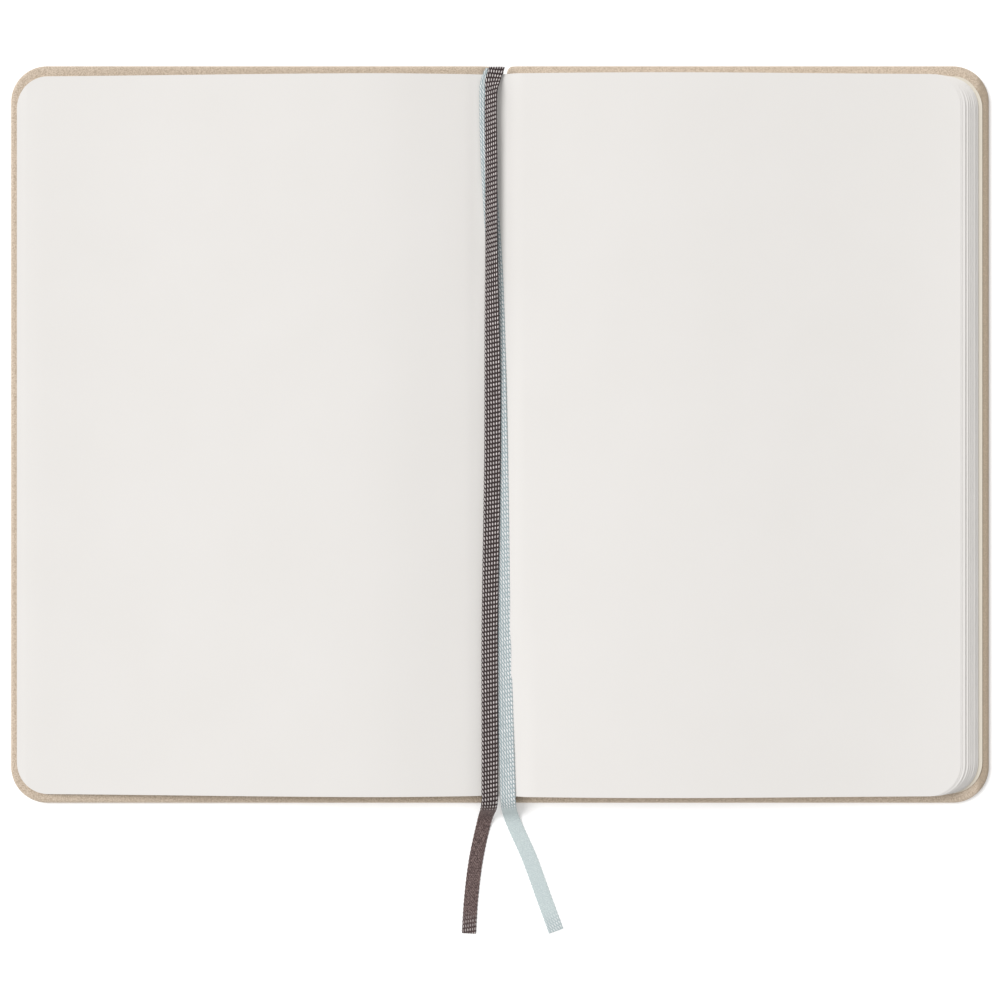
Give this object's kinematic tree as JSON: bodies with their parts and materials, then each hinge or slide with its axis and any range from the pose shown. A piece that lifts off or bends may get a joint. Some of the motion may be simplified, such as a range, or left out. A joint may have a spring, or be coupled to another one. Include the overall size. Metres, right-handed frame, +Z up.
{
  "type": "sketchbook",
  "caption": "Hard-cover sketchbook lying open, with sewn sections of blank leaves, round corners and two woven ribbon markers.",
  "frame": {"origin": "middle of the spine's underside on the table: the bottom centre of the open book's box, without the ribbons", "axes": "+X from the spine towards the fore-edge of the back cover, +Y towards the head of the book, +Z up"},
  "size_m": [0.2788, 0.2476, 0.0092],
  "materials": {
    "cover_leatherette": "matt tan grained leatherette",
    "grey_board": "rough grey binder's board",
    "endpaper": "matt",
    "paper": "matt, light drawing grain",
    "lining_cloth": "open weave",
    "sewing_thread": "twisted thread",
    "ribbon_brown": "woven, slight sheen",
    "ribbon_blue": "woven, slight sheen"
  },
  "bodies": {
    "back_cover": {"back_board": "grey_board", "back_cover_skin": "cover_leatherette", "back_pastedown": "endpaper", "back_flyleaf": "endpaper", "section_8": "paper", "sewing_thread_8": "sewing_thread"},
    "spine": {"spine_skin": "cover_leatherette", "spine_strip": "grey_board", "spine_lining": "lining_cloth"},
    "front_cover": {"front_board": "grey_board", "front_cover_skin": "cover_leatherette", "front_pastedown": "endpaper"},
    "section_7": {"section_7": "paper", "sewing_thread_7": "sewing_thread"},
    "section_6": {"section_6": "paper", "sewing_thread_6": "sewing_thread"},
    "section_5": {"section_5": "paper", "sewing_thread_5": "sewing_thread"},
    "section_4": {"section_4": "paper", "sewing_thread_4": "sewing_thread"},
    "section_3": {"section_3": "paper", "sewing_thread_3": "sewing_thread"},
    "section_2": {"section_2": "paper", "sewing_thread_2": "sewing_thread"},
    "first_section": {"first_section_right_leaf": "paper", "sewing_thread_1": "sewing_thread", "ribbon_blue": "ribbon_blue", "ribbon_brown": "ribbon_brown"},
    "turning_leaf": {"turning_leaf": "paper"},
    "left_leaves": {"front_flyleaf": "endpaper", "first_section_left_leaves": "paper"}
  },
  "joints": [
    {"name": "spine_hinge", "type": "hinge", "parent": "back_cover", "child": "spine", "pos_m": [0.0044, 0, 0.0012], "axis": [0, 1, 0], "range_deg": [0, 90], "deforming": ["ribbon_blue", "ribbon_brown"]},
    {"name": "front_cover_hinge", "type": "hinge", "parent": "spine", "child": "front_cover", "pos_m": [-0.0044, 0, 0.0012], "axis": [0, 1, 0], "range_deg": [0, 90.5]},
    {"name": "section_7_slide", "type": "slide", "parent": "back_cover", "child": "section_7", "axis": [1, 0, 0], "range_m": [0, 0.00104]},
    {"name": "section_6_slide", "type": "slide", "parent": "back_cover", "child": "section_6", "axis": [1, 0, 0], "range_m": [0, 0.00202]},
    {"name": "section_5_slide", "type": "slide", "parent": "back_cover", "child": "section_5", "axis": [1, 0, 0], "range_m": [0, 0.00301]},
    {"name": "section_4_slide", "type": "slide", "parent": "back_cover", "child": "section_4", "axis": [1, 0, 0], "range_m": [0, 0.00399]},
    {"name": "section_3_slide", "type": "slide", "parent": "back_cover", "child": "section_3", "axis": [1, 0, 0], "range_m": [0, 0.00498]},
    {"name": "section_2_slide", "type": "slide", "parent": "back_cover", "child": "section_2", "axis": [1, 0, 0], "range_m": [0, 0.00596]},
    {"name": "first_section_slide", "type": "slide", "parent": "back_cover", "child": "first_section", "axis": [1, 0, 0], "range_m": [0, 0.00695]},
    {"name": "left_leaves_hinge", "type": "hinge", "parent": "first_section", "child": "left_leaves", "pos_m": [-0.00297, 0, 0.00773], "axis": [0, 1, 0], "range_deg": [0, 182.5], "deforming": ["front_flyleaf", "first_section_left_leaves"]},
    {"name": "leaf_turn", "type": "hinge", "parent": "first_section", "child": "turning_leaf", "pos_m": [-0.0024, 0, 0.00798], "axis": [0, 1, 0], "range_deg": [-168, 0], "deforming": ["turning_leaf"]}
  ],
  "couplings": [
    {"joint": "front_cover_hinge", "follows": "spine_hinge", "ratio": 1},
    {"joint": "section_7_slide", "follows": "spine_hinge", "m_per_rad": 0.00062753},
    {"joint": "section_6_slide", "follows": "spine_hinge", "m_per_rad": 0.001255},
    {"joint": "section_5_slide", "follows": "spine_hinge", "m_per_rad": 0.0018826},
    {"joint": "section_4_slide", "follows": "spine_hinge", "m_per_rad": 0.0025101},
    {"joint": "section_3_slide", "follows": "spine_hinge", "m_per_rad": 0.0031376},
    {"joint": "section_2_slide", "follows": "spine_hinge", "m_per_rad": 0.0037652},
    {"joint": "first_section_slide", "follows": "spine_hinge", "m_per_rad": 0.0043927},
    {"joint": "left_leaves_hinge", "follows": "spine_hinge", "ratio": 2.0204}
  ]
}
